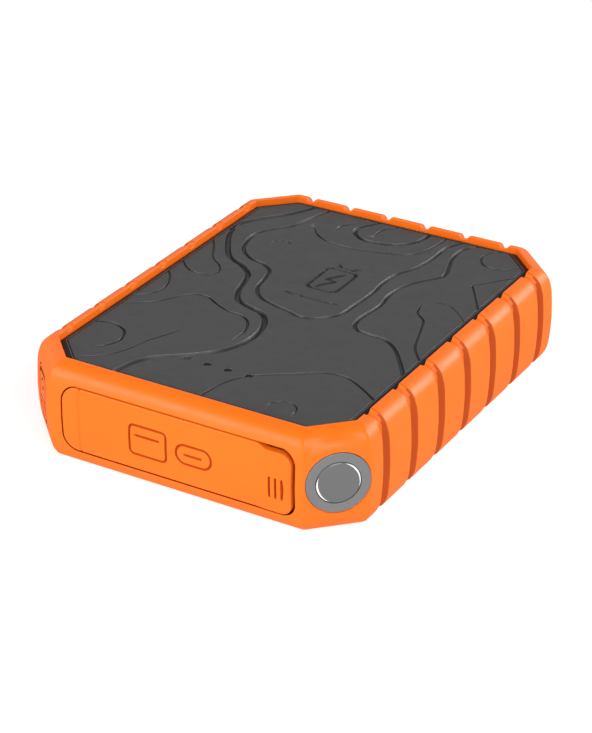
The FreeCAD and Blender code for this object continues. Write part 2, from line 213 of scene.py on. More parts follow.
def mesh_object(name, verts, faces, slots=(), sharp=32):
    """Object from millimetre vertices, smooth except across edges over sharp degrees.

    slots gives the material of the first faces. The rest have the first material.
    """
    mesh = bpy.data.meshes.new(name)
    corners = [tuple(v) for v in np.array(verts) * MM]
    mesh.from_pydata(corners, [], [tuple(int(i) for i in f) for f in faces])
    mesh.validate()
    if len(slots):
        index = np.zeros(len(mesh.polygons), np.int32)
        index[:len(slots)] = slots
        mesh.polygons.foreach_set("material_index", index)
    bm = bmesh.new()
    bm.from_mesh(mesh)
    bmesh.ops.remove_doubles(bm, verts=bm.verts, dist=1e-7)
    bmesh.ops.recalc_face_normals(bm, faces=bm.faces)
    bm.to_mesh(mesh)
    bm.free()
    smooth_with_edges(mesh, sharp)
    return add_object(name, mesh)


def face_values(mesh, key):
    """The centre or normal of every face, one row each."""
    values = np.empty(len(mesh.polygons) * 3)
    mesh.polygons.foreach_get(key, values)
    return values.reshape(-1, 3)


def even_shading(obj):
    """Large faces keep their own normal next to small fillets."""
    weighted = obj.modifiers.new("even_shading", "WEIGHTED_NORMAL")
    weighted.keep_sharp = True
    weighted.weight = 80


def tube_faces(rows, columns, close_rows=True, close_columns=True):
    """Quads of a rows by columns grid of vertices."""
    i = np.arange(rows if close_rows else rows - 1)
    j = np.arange(columns if close_columns else columns - 1)
    i, j = [a.ravel() for a in np.meshgrid(i, j, indexing="ij")]
    i2 = (i + 1) % rows
    j2 = (j + 1) % columns
    return np.stack([i * columns + j, i * columns + j2, i2 * columns + j2, i2 * columns + j], 1)


# ---- the outer skin

# (offset, height) up the outside of the bumper
LOWER_SKIN = [(1.9, 0.0), (2.4, 0.1), (2.85, 0.42), (3.35, 1.0), (4.35, 3.1), (4.82, 5.8),
              (5.06, 9.0), (5.2, 12.9)]
UPPER_SKIN = [(5.2, 13.1), (5.1, 16.2), (4.86, 20.2), (4.5, 22.6), (3.68, 25.0), (2.4, 26.55),
              (1.0, 27.38), (-0.1, 27.76)]
SKIN = np.vstack([smooth_line(LOWER_SKIN, 0.7), smooth_line(UPPER_SKIN, 0.55)])


def skin_s(z):
    """Outward offset of the bumper's skin at height z."""
    return np.interp(z, SKIN[:, 1], SKIN[:, 0])


def octagon_s(points):
    """Offset of points in plan from the crest octagon."""
    x, y = np.abs(points[:, 0]), np.abs(points[:, 1])
    corner = (x + y - (CREST_X + CREST_Y - CORNER_LEG)) * DIAGONAL
    return np.maximum.reduce([x - CREST_X, y - CREST_Y, corner])


class Place:
    """A front face or front corner: u runs to the right along it, z up, s outward."""

    def __init__(self, turn):
        a = math.radians(turn)
        self.along = np.array([math.cos(a), math.sin(a)])
        self.out = np.array([math.sin(a), -math.cos(a)])
        if turn == 0:
            self.start = np.array([0.0, -CREST_Y])
        else:
            half = CORNER_LEG / 2
            self.start = np.array([math.copysign(CREST_X - half, turn), -(CREST_Y - half)])

    def at(self, u, z, s):
        u, z, s = np.broadcast_arrays(np.asarray(u, float), z, s)
        xy = self.start + u[..., None] * self.along + s[..., None] * self.out
        return np.concatenate([xy, z[..., None]], -1)


FRONT = Place(0)
TORCH_CORNER = Place(45)
TORCH_CENTRE = (TORCH_LOW + TORCH_HIGH)[:2] / 2
TORCH_SHIFT = (TORCH_CENTRE - TORCH_CORNER.start) @ TORCH_CORNER.along
TORCH_CORNER.start = TORCH_CORNER.start + TORCH_SHIFT * TORCH_CORNER.along
BUTTON_CORNER = Place(-45)


# ---- bumper

GROOVE_DEPTH = 1.5
GROOVE_TOP = 1.8
GROOVE_FLOOR = 0.9
GROOVE_DEPTH_AT = ([0, 1.5, 22, 27.6], [0.7, GROOVE_DEPTH, GROOVE_DEPTH, 1.1])
SIDE_GROOVES = [14.9 * i for i in range(-3, 4)]
BACK_GROOVES = [12.65 * (i + 0.5) for i in range(-3, 3)]
NO_GROOVE = 99
# The dark strip of painted shade on a groove's walls begins this far from its middle, by height, and ends at
# the outer limit below.
SHADE_ABOVE_Z = (21.0, 23.5, 26.0, 27.3)
SHADE_FROM = (0.8, 1.0, 1.33, 1.6)
SHADE_TO = 1.9
WALL_SLOPE = 0.5
POCKET_SUNK = 0.15
POCKET_ABOVE_S = 1.7
POCKET_Z = (2.5, 23.4)
# (offset, height) of the crest, of the crest across a groove, and of the inside of the ring
CREST = [(-0.3, HEIGHT), (-0.46, 27.79), (-0.6, 27.7), (-0.68, 27.55), (-0.7, 27.3), (-0.7, 26.6),
         (-0.7, 25.5)]
GROOVE_CREST = [(-0.35, 26.72), (-0.48, 26.71), (-0.61, 26.64), (-0.68, 26.52), (-0.7, 26.4),
                (-0.7, 26.1), (-0.7, 25.5)]
INNER = [(-0.7, 25.25), (0.3, 25.25), (1.57, 23.5), (1.57, 2.7), (0.0, 1.25), (-0.7, 1.2),
         (-0.7, 0.3), (-0.6, 0.08), (-0.4, 0.0)]
ARC_STATIONS = 6
CORNER_STATIONS = 27
SEAT_HALF = 7.4
SEAT_MARGIN = 0.6
SEAT_FADE = 3.6
WINDOW = (-25.45, 31.15, 6.45, 20.35)


def soft_ramp(x, soft=0.16):
    """0 below 0, 1 above 1, straight between, with both bends rounded."""
    low = np.clip(x + soft, 0, 2 * soft) ** 2 / (4 * soft)
    high = np.clip(1 + soft - x, 0, 2 * soft) ** 2 / (4 * soft)
    return np.where(x < soft, low, np.where(x > 1 - soft, 1 - high, x))


def groove_share(along, centres):
    """How deep each station along a side is in a groove, from 0 to 1."""
    if not centres:
        return np.zeros(len(along))
    t = np.abs(along[:, None] - np.array(centres)).min(1)
    return soft_ramp((GROOVE_TOP - t) / (GROOVE_TOP - GROOVE_FLOOR))


def side_stations(half, centres):
    """Places along a side, close together at the flanks of its grooves."""
    step = 1.5
    near = [0.0, 0.4, 0.74, 0.82, 0.9, 0.98, 1.06, 1.35, 1.64, 1.72, 1.8, 1.88, 1.97, 2.3]
    fixed = sorted({round(c + k * d, 4) for c in centres for d in near for k in (-1, 1)})
    plain = np.arange(-half, half + 1e-6, 2 * half / round(2 * half / step))
    if centres:
        plain = [p for p in plain if np.abs(np.array(fixed) - p).min() > 0.5]
    return np.array(sorted(list(plain) + fixed))


def corner_points(s):
    """The eight corners of the octagon at each offset in s, anticlockwise from the right side."""
    hx = CREST_X + s
    hy = CREST_Y + s
    reach = CREST_X + CREST_Y - CORNER_LEG + s / DIAGONAL
    a, b = reach - hy, reach - hx
    xy = [(hx, -b), (hx, b), (a, hy), (-a, hy), (-hx, b), (-hx, -b), (-a, -hy), (a, -hy)]
    return np.array([np.stack(p, -1) for p in xy])


def sweep(section, floor, grooved=True):
    """Carries a closed section round the octagon. floor is the section in the middle of a groove."""
    s, z = section.T
    sf, zf = floor.T
    corners = corner_points(s)
    run = CORNER_ROUND * math.tan(math.radians(22.5))
    blocks = []
    for k in range(8):
        heading = math.radians(90 + 45 * k)
        ahead = np.array([math.cos(heading), math.sin(heading)])
        before = heading - math.radians(45)
        out = np.array([math.sin(before), -math.cos(before)])
        centre = corners[k] - run * np.array([math.cos(before), math.sin(before)]) - CORNER_ROUND * out
        turn = before - math.radians(90) + np.radians(np.linspace(0, 45, ARC_STATIONS))
        arc = CORNER_ROUND * np.stack([np.cos(turn), np.sin(turn)], 1)
        height = np.broadcast_to(z[:, None, None], (len(s), ARC_STATIONS, 1))
        blocks.append(np.concatenate([centre[:, None] + arc, height], 2))
        if k % 2 == 0:
            centres = {0: SIDE_GROOVES, 2: BACK_GROOVES, 4: SIDE_GROOVES, 6: []}[k] if grooved else []
            half = (CREST_Y if k % 4 == 0 else CREST_X) - CORNER_LEG - 1.0
            along = side_stations(half, centres)
            share = groove_share(along, centres)
            here_s = s[:, None] + (sf - s)[:, None] * share
            here_z = z[:, None] + (zf - z)[:, None] * share
            base = CREST_X if k % 4 == 0 else CREST_Y
            normal = np.array([ahead[1], -ahead[0]])
            xy = along[None, :, None] * ahead + (base + here_s)[..., None] * normal
            blocks.append(np.concatenate([xy, here_z[..., None]], 2))
        else:
            part = (np.arange(1, CORNER_STATIONS + 1) / (CORNER_STATIONS + 1))[None, :, None]
            start = (corners[k] + run * ahead)[:, None]
            end = (corners[(k + 1) % 8] - run * ahead)[:, None]
            xy = start + (end - start) * part
            height = np.broadcast_to(z[:, None, None], xy.shape[:2] + (1,))
            blocks.append(np.concatenate([xy, height], 2))
    return np.concatenate(blocks, 1)


def raise_torch_seat(points, outer_rows):
    """Fills the front right corner out to a flat seat round the torch ring."""
    p = points[:outer_rows]
    rel = p[..., :2] - TORCH_CORNER.start
    u = rel @ TORCH_CORNER.along
    s = rel @ TORCH_CORNER.out
    ring = np.hypot(u, p[..., 2] - TORCH_Z)
    share = ease(1 - (ring - TORCH_R - SEAT_MARGIN) / SEAT_FADE)
    near = (s > -1) & (s < BULGE) & (np.abs(u) < SEAT_HALF)
    lift = np.where(near, (BULGE - 0.05 - s) * share, 0)
    p[..., :2] += lift[..., None] * TORCH_CORNER.out


def make_bumper():
    section = np.vstack([SKIN, CREST])
    ds = np.gradient(SKIN, axis=0)
    ds /= np.linalg.norm(ds, axis=1)[:, None]
    depth = np.interp(SKIN[:, 1], *GROOVE_DEPTH_AT)[:, None]
    deep = SKIN + depth * np.stack([-ds[:, 1], ds[:, 0]], 1)
    deep[:, 1] = np.maximum(deep[:, 1], 0.5 * SKIN[:, 1])
    points = sweep(np.vstack([section, INNER]), np.vstack([deep, GROOVE_CREST, INNER]))
    raise_torch_seat(points, len(section))
    faces = tube_faces(*points.shape[:2])
    return mesh_object("bumper_ring", points.reshape(-1, 3), faces)


def mark_steep_walls(mesh):
    """Gives the second material to the walls of grooves and the third to those of pockets: both are darker
    rubber painted as shade.
    """
    centres, normals = face_values(mesh, "center") / MM, face_values(mesh, "normal")
    x, y = np.abs(centres[:, :2]).T
    z = centres[:, 2]
    on_side = x - CREST_X > y - CREST_Y
    from_corner = (x + y - (CREST_X + CREST_Y - CORNER_LEG)) * DIAGONAL
    on_corner = from_corner > np.maximum(x - CREST_X, y - CREST_Y)
    steep = np.where(on_side, np.abs(normals[:, 1]), np.abs(normals[:, 0])) > WALL_SLOPE
    offset = octagon_s(centres)
    sunk = offset < skin_s(np.clip(z, 0.3, 27.5)) - POCKET_SUNK
    in_front = on_corner | (centres[:, 1] < -CREST_Y)
    low, high = POCKET_Z
    pocket = in_front & sunk & (offset > POCKET_ABOVE_S) & (z > low) & (z < high)
    run = np.where(on_side, centres[:, 1], centres[:, 0])[:, None]
    places = np.where(on_side[:, None], SIDE_GROOVES, np.append(BACK_GROOVES, NO_GROOVE))
    from_middle = np.abs(run - places).min(1)
    # painted shade: groove walls within this band from the groove's middle get the darker rubber
    dark = (from_middle > np.interp(z, SHADE_ABOVE_Z, SHADE_FROM)) & (from_middle < SHADE_TO)
    groove = steep & (offset > -0.5) & dark
    groove &= ~pocket & ~on_corner & (on_side | (centres[:, 1] > 0))
    # the third material is darker rubber painted on pocket walls as shade
    mesh.polygons.foreach_set("material_index", (groove + 2 * pocket).astype(np.int32))


def cutter(place, outline, inner_s, flare, name):
    """Closed tool that cuts a pocket with rounded edges following the skin."""
    normals = normals_of(outline, True)
    z_top = [(flare + 0.02, 2.5), (flare, 0.03), (flare * 0.3, -flare * 0.3), (0.0, -flare)]
    rings = []
    for grow, lift in z_top:
        line = outline + normals * grow
        rings.append(place.at(line[:, 0], line[:, 1], skin_s(line[:, 1]) + lift))
    rings.append(place.at(outline[:, 0], outline[:, 1], inner_s))
    n = len(outline)
    faces = [tuple(f) for f in tube_faces(len(rings), n, close_rows=False)]
    faces += [tuple(range(n)), tuple(range((len(rings) - 1) * n, len(rings) * n))]
    return mesh_object(name, np.concatenate(rings), faces)


def circle(cx, cz, r, n):
    a = np.linspace(0, 2 * np.pi, n, endpoint=False)
    return np.stack([cx + r * np.cos(a), cz + r * np.sin(a)], 1)


def carve(obj, tools):
    """Subtracts the tools and leaves the plain mesh."""
    for tool in tools:
        cut = obj.modifiers.new("cut", "BOOLEAN")
        cut.operation = "DIFFERENCE"
        cut.solver = "EXACT"
        cut.object = tool
    bpy.context.view_layer.update()
    depsgraph = bpy.context.evaluated_depsgraph_get()
    carved = bpy.data.meshes.new_from_object(obj.evaluated_get(depsgraph))
    obj.modifiers.clear()
    obj.data = carved
    smooth_with_edges(carved, 34)
    for tool in tools:
        bpy.data.objects.remove(tool)


def build_bumper():
    bumper = make_bumper()
    door_pocket = rounded_outline(TAB_LOW[0] - GAP, DOOR_HIGH[0] + 1.0, DOOR_LOW[2] - GAP, DOOR_HIGH[2] + GAP,
                                  (4.7, 4.2, 4.2, 4.7))
    window = rounded_outline(*WINDOW, (2.1,) * 4)
    half_w = BUTTON_HALF + GAP
    pad = rounded_outline(-half_w, half_w, BUTTON_LOW[2] - GAP, BUTTON_HIGH[2] + GAP, (2.8,) * 4)
    tools = [
        cutter(FRONT, door_pocket, POCKET_S, 0.3, "door_pocket"),
        cutter(FRONT, window, 1.0, 0.3, "window"),
        cutter(TORCH_CORNER, circle(0, TORCH_Z, TORCH_R + 0.06, 96), 1.0, 0.2, "torch_hole"),
        cutter(BUTTON_CORNER, pad, 1.0, 0.12, "button_hole"),
    ]
    carve(bumper, tools)
    even_shading(bumper)
    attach(bumper, "housing")
    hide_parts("bumper")
    return bumper


# ---- relief sheets

class Stroke:
    """An engraved line with a flat floor and sloping walls."""

    def __init__(self, points, half, depth, floor=0.5, fade=(0, 0), closed=False, smooth=True, step=0.5):
        if smooth:
            line = smooth_line(points, step, closed)
        else:
            line = fill_gaps(np.array(points, float), step, closed)
        self.line, self.closed = line, closed
        self.half, self.depth, self.floor, self.fade = half, depth, floor, fade
        ends = np.linalg.norm(np.diff(line, axis=0), axis=1)
        self.length = ends.sum()
        self.along = np.concatenate([[0], np.cumsum(ends)])

    def strength(self, along):
        """1 along the line, falling to nearly nothing at a fading end."""
        value = np.ones_like(along)
        for fade, gone in zip(self.fade, (along, self.length - along)):
            if fade:
                t = np.clip(gone / fade, 0, 1)
                value = value * (0.06 + 0.94 * t * (2 - t))
        return value

    def lines(self, guard=0.16):
        """Lines that the mesh follows: the middle, the floor's edges, the walls and a flat border."""
        share = self.strength(self.along)[:, None]
        normals = normals_of(self.line, self.closed)
        offsets = [self.floor, 0.5 + 0.5 * self.floor - 0.1, 0.86, 1.0]
        found = [self.line]
        for side in (-1, 1):
            found += [self.line + side * normals * (self.half * f * np.maximum(share, 0.25)) for f in offsets]
            found.append(self.line + side * normals * (self.half * np.maximum(share, 0.25) + guard))
        return [(f, self.closed) for f in found]

    def depth_at(self, points):
        low, high = self.line.min(0) - self.half - 0.1, self.line.max(0) + self.half + 0.1
        near = np.all((points > low) & (points < high), axis=1)
        result = np.zeros(len(points))
        if near.any():
            d, along = distance_to(self.line, points[near], self.closed)
            share = self.strength(along)
            q = d / (self.half * np.maximum(share, 0.25))
            result[near] = self.depth * share * (1 - ease((q - self.floor) / (1 - self.floor)))
        return result


def engrave(strokes, points):
    """How deep the strokes go at each point, in mm and as a share of a stroke's full depth."""
    sunk, share = np.zeros(len(points)), np.zeros(len(points))
    for stroke in strokes:
        depth = stroke.depth_at(points)
        sunk = np.maximum(sunk, depth)
        share = np.maximum(share, depth / stroke.depth)
    return sunk, share


def keep_inside(lines, allowed):
    """Cuts lines down to their stretches where allowed is true."""
    kept = []
    for line, closed in lines:
        ok = allowed(line)
        if ok.all():
            kept.append((line, closed))
            continue
        start = None
        for i, good in enumerate([*ok, False]):
            if good and start is None:
                start = i
            if not good and start is not None:
                if i - start > 1:
                    kept.append((line[start:i], False))
                start = None
    return kept


def grid_points(outline, step):
    """Points on a grid inside an outline."""
    low, high = outline.min(0), outline.max(0)
    x, y = np.meshgrid(*(np.arange(low[i] + step / 2, high[i], step) for i in (0, 1)))
    points = np.stack([x.ravel(), y.ravel()], 1)
    return points[inside(outline, points)]


def clear_of(points, lines, gap):
    """Points at least gap from every vertex of the lines."""
    taken = np.concatenate([line for line, _ in lines])
    keep = np.ones(len(points), bool)
    for low in range(0, len(points), 500):
        p = points[low:low + 500]
        keep[low:low + 500] = np.linalg.norm(p[:, None] - taken, axis=2).min(1) > gap
    return points[keep]


def close_back(points, faces, back):
    """Adds side walls and a back to a sheet. back gives each boundary vertex's far end."""
    count = {}
    for a, b, c in faces:
        for edge in ((a, b), (b, c), (c, a)):
            count[edge] = count.get(edge, 0) + 1
    rim = {a: b for (a, b) in count if (b, a) not in count}
    start = next(iter(rim))
    loop = [start]
    while rim[loop[-1]] != start:
        loop.append(rim[loop[-1]])
    base = len(points)
    n = len(loop)
    walls = [(loop[i], base + i, base + (i + 1) % n, loop[(i + 1) % n]) for i in range(n)]
    cap = [tuple(base + i for i in range(n))]
    return np.vstack([points, back(points[loop])]), [tuple(f) for f in faces] + walls + cap


def edge_lines(outline, radius):
    """Lines that follow an outline inward, where its edge is rounded."""
    normals = normals_of(outline, True)
    insets = [radius * f for f in (0.12, 0.35, 0.65, 1.0)] + [radius + 0.15]
    return [(outline - normals * d, True) for d in insets]


def edge_drop(outline, points, radius):
    d = distance_to(outline, points, True)[0]
    return radius - np.sqrt(np.maximum(radius ** 2 - np.clip(radius - d, 0, radius) ** 2, 0))


def padded_piece(name, place, outline, strokes, back_s, radius, extra=None, step=1.0):
    """A pad whose face follows the bumper's skin, with engraved strokes and rounded edges."""
    lines = edge_lines(outline, radius)
    for stroke in strokes:
        lines += stroke.lines()
    lines = keep_inside(lines, lambda p: inside(outline, p))
    loose = clear_of(grid_points(outline, step), lines + [(outline, True)], 0.3)
    flat, faces = triangulate(outline, lines, loose)
    depth, share = engrave(strokes, flat)
    sunk = np.maximum(edge_drop(outline, flat, radius), depth)
    if extra is not None:
        sunk = sunk - extra(flat)
    points = place.at(flat[:, 0], flat[:, 1], skin_s(flat[:, 1]) - sunk)

    def back(rim):
        rel = rim[:, :2] - place.start
        return place.at(rel @ place.along, rim[:, 2], back_s)

    # faces inside the strokes take the second material, darker rubber painted as shade
    engraved = share[faces].mean(1) > CUT_SHARE
    obj = mesh_object(name, *close_back(points, faces, back), engraved, sharp=40)
    even_shading(obj)
    return obj


# ---- lid

CONTOURS = [
    # half width, depth, fades at its ends, points
    (0.85, 0.8, (0, 0), [
        (-30.4, 61.5), (-28.7, 57.3), (-32.5, 49.5), (-37.2, 43.4), (-41.1, 37.7), (-42, 33),
        (-39.9, 26.6), (-33.4, 16.4), (-27, 12.7), (-22.5, 8.9), (-20.6, 3.7), (-19.1, -1.8),
        (-16.1, -6.5), (-11.2, -8.6), (-6, -10.5), (-2.7, -15.2), (-1.3, -21.4), (-1.8, -27.5),
        (-4.3, -33.7), (-9.3, -39.1), (-17.3, -45.6), (-20.3, -50.3), (-21.8, -55.8), (-22.1, -59.2)]),
    (0.6, 0.55, (0, 7), [
        (-23.1, 61.5), (-23.8, 56.9), (-25.4, 51.3), (-27.3, 43.4), (-31, 38.2), (-33.9, 33.4),
        (-34.2, 28.3), (-31.8, 21.7), (-27.3, 17.8), (-21.6, 16), (-18.4, 13.6), (-16.9, 8.9),
        (-15.7, 2.8), (-12.1, -1.8), (-6.9, -3.9), (-1.3, -5.4), (3.9, -6.7), (8.4, -4.7), (11.9, -0.3),
        (12.7, 7), (13.2, 16.4), (12.7, 22.1), (13.4, 29.2), (15.7, 34.4), (17.2, 42), (17.5, 51.4),
        (20.1, 57.2), (21.9, 61.5)]),
    (0.6, 0.55, (0, 0), [
        (28.7, 61.6), (25.3, 57), (22.2, 53.3), (22, 46.6), (23.7, 41), (25.1, 36.2), (24.4, 33.2),
        (20.7, 28), (18.5, 22.6), (17.8, 16.4), (18.7, 9.9), (17.7, 0.1), (19.4, -5.1), (24.3, -6.5),
        (29.5, -7), (33.8, -10), (38.5, -15.8), (42.5, -21.4), (45.1, -24.8)]),
    (0.36, 0.36, (7, 0), [
        (-22.1, 44.9), (-18.5, 40.7), (-14, 38.4), (-7, 37.7), (0.6, 38.8), (8.1, 41), (12, 43.9),
        (13.8, 49.5), (14.7, 57), (15.1, 61.5)]),
    (0.45, 0.45, (3, 0), [
        (-15.6, 45.6), (-15.5, 49.5), (-12.7, 53.2), (-9.1, 57), (-5, 61.5)]),
    (0.7, 0.7, (2, 0), [
        (-4, 60.5), (-7.1, 56.7), (-10.3, 51.6), (-10.4, 48), (-7.5, 45.2), (-3.2, 44.2), (3.4, 45.7),
        (8.1, 50.4), (9.5, 57), (9.8, 61.5)]),
    (0.42, 0.45, (3, 0), [
        (-4.6, 48.7), (-3.8, 53.2), (-0.9, 56.8), (2.2, 60.5)]),
    (0.34, 0.36, (2, 5), [
        (38.6, 55.4), (34.4, 57.4), (30.3, 55.5), (28.9, 51.2), (30.9, 47.3), (34.5, 46), (38, 47.1),
        (42.8, 52.2)]),
    (0.32, 0.34, (0, 0), [
        (45.9, 47.1), (42, 42.9), (35.8, 35), (34.7, 33.5), (36, 31.5), (42.3, 21.6), (45, 18)]),
    (0.34, 0.36, (5, 0), [
        (27.8, 16.7), (29.5, 11.2), (32.8, 8.1), (34.7, 3.2), (36.6, -2.4), (39, -8.2), (45.1, -15.4)]),
    (0.22, 0.16, (4, 0), [
        (28.9, 18.2), (32.5, 19.3), (36.2, 18.6), (41.8, 13.6), (45, 9.6)]),
    (0.3, 0.32, (0, 2), [
        (-46.5, 27.3), (-43, 23), (-40, 18.8), (-36.2, 12.4), (-32.5, 9.6), (-30.1, 5.9), (-31.4, 3),
        (-35.3, 2.1), (-39.5, 3.7), (-46.5, 10.7)]),
    (0.3, 0.32, (0, 0), [
        (-46.5, 1.8), (-43, -0.5), (-40, -3.9), (-37.8, -9.1), (-38.4, -14.3), (-43, -19),
        (-46.5, -21.6)]),
    (0.4, 0.42, (0, 9), [
        (-46.5, -26.8), (-43, -24.3), (-35.5, -19.1), (-31.4, -12.8), (-28.2, -9.7), (-24.4, -9.1),
        (-20.1, -11.4), (-15.4, -13.4), (-9.9, -14.3), (-6.9, -16.8), (-5, -21.4), (-5.2, -27.3)]),
    (0.42, 0.45, (0, 7), [
        (-46.5, -37.2), (-43, -36.6), (-37.7, -35.1), (-32.7, -37.2), (-30.6, -42.2), (-32.6, -47.1),
        (-36.6, -49.3)]),
    (0.32, 0.34, (5, 0), [
        (-19.7, -28.9), (-22.1, -34.2), (-24.4, -39.4), (-26.2, -46.1), (-29.5, -51.3), (-35.3, -56),
        (-38.2, -58.1)]),
    (0.38, 0.4, (0, 0), [
        (3.5, -59.2), (4, -56.1), (5.5, -48), (9.2, -41.9), (16.8, -36.2), (24.9, -31), (30, -30.1),
        (34.8, -31.9), (42.3, -36.8), (45.2, -39.4)]),
]
CONTOUR_WIDER = 1.12
CONTOUR_DEEPER = 1.2
# centre, radius, first and last angle
SMALL_ARCS = [(-24.4, 29.7, 2.8, 20, 200), (24.9, -52.6, 3.8, -20, 200)]
HOLE_R = 1.2
# (offset, drop) from the face over the lid's bevelled border
BORDER = [(-3.3, 0.0), (-3.18, 0.01), (-3.08, 0.08), (-3.02, 0.36), (-2.86, 0.38), (-2.8, 0.1),
          (-2.68, 0.03), (-2.5, 0.08), (-1.6, 0.42), (-0.82, 0.76), (-0.7, 0.85)]
BORDER_S = [s for s, _ in BORDER]
BORDER_DROP = [drop for _, drop in BORDER]
BORDER_EDGE_S = -3.06
# (offset, half width) of thin lines on the border painted lighter as highlights
HIGHLIGHT_LINES = ((-3.13, 0.05), (-2.62, 0.07))
# faces this far into a stroke's edge get the painted highlight
EDGE_SHARE = 0.012
LID_STEP = 0.6
LID_BACK_Z = 25.0
HOLE_DEPTH = 0.75
MARK = (-0.3, 17.4)
MARK_FLOOR = 0.7
BARS_Y = 4.4


def lid_strokes():
    strokes = [Stroke(points, CONTOUR_WIDER * half, CONTOUR_DEEPER * depth, 0.5, fade)
               for half, depth, fade, points in CONTOURS]
    for cx, cy, r, start, end in SMALL_ARCS:
        a = np.radians(np.linspace(start, end, 9))
        arc = np.stack([cx + r * np.cos(a), cy + r * np.sin(a)], 1)
        strokes.append(Stroke(arc, 0.34, 0.36, 0.4, (3, 3), step=0.35))
    x, y = MARK
    case = rounded_outline(x - 4.6, x + 4.6, y - 7.2, y + 6.2, (1.8,) * 4)
    bolt = [(x + 1.5, y + 3.9), (x - 1.7, y - 0.6), (x + 1.7, y - 0.4), (x - 1.5, y - 4.9)]
    marks = [(case, 0.55, 0.5, True), ([(x - 1.6, y + 8.0), (x + 1.6, y + 8.0)], 0.6, 0.5, False),
             (bolt, 0.62, 0.5, False)]
    for i in range(4):
        left = x - 6.1 + 3.6 * i
        marks.append(([(left, BARS_Y), (left + 1.5, BARS_Y)], 0.55, 0.45, False))
    return strokes + [Stroke(line, half, depth, MARK_FLOOR, closed=closed, smooth=False, step=0.4)
                      for line, half, depth, closed in marks]


def octagon_line(s, step):
    """Outline of the rounded octagon at offset s."""
    section = np.array([(s, 0.0)])
    points = sweep(section, section, grooved=False)[0, :, :2]
    return fill_gaps(points, step)


def lid_holes():
    boxes = [box_mm("led_light_pipe_%d" % i) for i in range(1, 5)]
    return [(low[:2] + high[:2]) / 2 for low, high in boxes]


def lid_slots(share, offset):
    """Material of each face: 0 plain, 1 border (painted shade), 2 inside of a cut (painted shade), 3 bright
    edge (painted highlight).
    """
    slots = np.where(share > CUT_SHARE, 2, np.where(share > EDGE_SHARE, 3, 0))
    slots = np.where(offset > BORDER_EDGE_S, 1, slots)
    for middle, half in HIGHLIGHT_LINES:
        slots = np.where(np.abs(offset - middle) < half, 3, slots)
    return slots


def build_lid():
    outline = octagon_line(BORDER_S[-1], LID_STEP)
    strokes = lid_strokes()
    holes = lid_holes()
    lines = [(octagon_line(s, LID_STEP), True) for s in BORDER_S[:-1]]
    for stroke in strokes:
        lines += stroke.lines()

    def free(points):
        off_holes = [np.linalg.norm(points - c, axis=1) > HOLE_R + 0.22 for c in holes]
        return np.all(off_holes, axis=0) & (octagon_s(points) < BORDER_S[-1] - 0.02)

    lines = keep_inside(lines, free)
    lines += [(circle(*c, HOLE_R + d, 32), True) for c in holes for d in (-0.1, 0.0, 0.06, 0.2)]
    loose = clear_of(grid_points(outline, 2.5), lines + [(outline, True)], 0.7)
    flat, faces = triangulate(outline, lines, loose)
    offset = octagon_s(flat)
    sunk, share = engrave(strokes, flat)
    sunk = np.where(offset > -2.95, 0, sunk * np.clip((-3.0 - offset) / 0.1, 0, 1))
    z = LID_FACE - np.interp(offset, BORDER_S, BORDER_DROP) - sunk
    for c in holes:
        r = np.linalg.norm(flat - c, axis=1)
        z = np.where(r < HOLE_R - 0.05, LID_FACE - HOLE_DEPTH, np.where(r < HOLE_R + 0.03, z - 0.06, z))
    slots = lid_slots(share[faces].mean(1), offset[faces].mean(1))

    def back(rim):
        return np.column_stack([rim[:, :2], np.full(len(rim), LID_BACK_Z)])

    verts, faces = close_back(np.column_stack([flat, z]), faces, back)
    lid = mesh_object("lid_plate", verts, faces, slots, sharp=50)
    even_shading(lid)
    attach(lid, "housing")
    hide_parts("top_shell")
    return lid


# ---- door, tab, hinge, button

GRIP_X = 26.2
GRIP_DROP = 1.0
PICTURE_Z = 13.2
PICTURE_STROKE = (0.40, 0.5, 0.4)


def door_outline():
    x0, x1 = DOOR_LOW[0], DOOR_HIGH[0]
    z0, z1 = DOOR_LOW[2], DOOR_HIGH[2]
    outline = rounded_outline(x0, x1, z0, z1 - GRIP_DROP, (0.2, 3.2, 3.2, 0.2), 0.4)
    lift = GRIP_DROP * ease((GRIP_X + 1.9 - outline[:, 0]) / 3.8)
    outline[:, 1] += np.where(outline[:, 1] > z1 - GRIP_DROP - 0.25, lift, 0)
    return outline


def grip_lift(points):
    """The grip end stands a little proud, with a soft ramp, and an arrow facet beside its last groove."""
    lift = 0.22 * ease((points[:, 0] - GRIP_X + 1.9) / 3.0)
    u = (points[:, 0] - 32.4) / 1.4
    v = np.abs(points[:, 1] - 11.6) / 3.0
    facet = np.clip(1 - u - v, 0, 1) * (u > 0)
    return lift - 0.5 * facet


def build_door():
    z = PICTURE_Z
    large = rounded_outline(-12.8, -1.8, z - 4.2, z + 4.2, (1.3,) * 4)
    small = rounded_outline(1.3, 11.7, z - 2.7, z + 2.7, (2.65,) * 4)
    pictures = [(large, True), ([(-10.6, z + 1.4), (-4.0, z + 1.4)], False),
                (small, True), ([(4.3, z), (8.7, z)], False)]
    strokes = [Stroke(line, *PICTURE_STROKE, closed=closed, smooth=False) for line, closed in pictures]
    for x in (28.7, 30.5, 32.3):
        strokes.append(Stroke([(x, 8.9), (x, 14.3)], 0.38, 0.6, 0.4, smooth=False))
    door = padded_piece("door_panel", FRONT, door_outline(), strokes, DOOR_IN_S, 0.32, grip_lift, 0.9)
    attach(door, "door")
    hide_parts("usb_door")
    outline = rounded_outline(TAB_LOW[0], TAB_HIGH[0], TAB_LOW[2], TAB_HIGH[2], (4.4, 0.2, 0.2, 4.4))
    tab = padded_piece("hinge_tab", FRONT, outline, [], POCKET_S, 0.3)
    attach(tab, "housing")
    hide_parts("door_hinge_tab")
    return door, tab


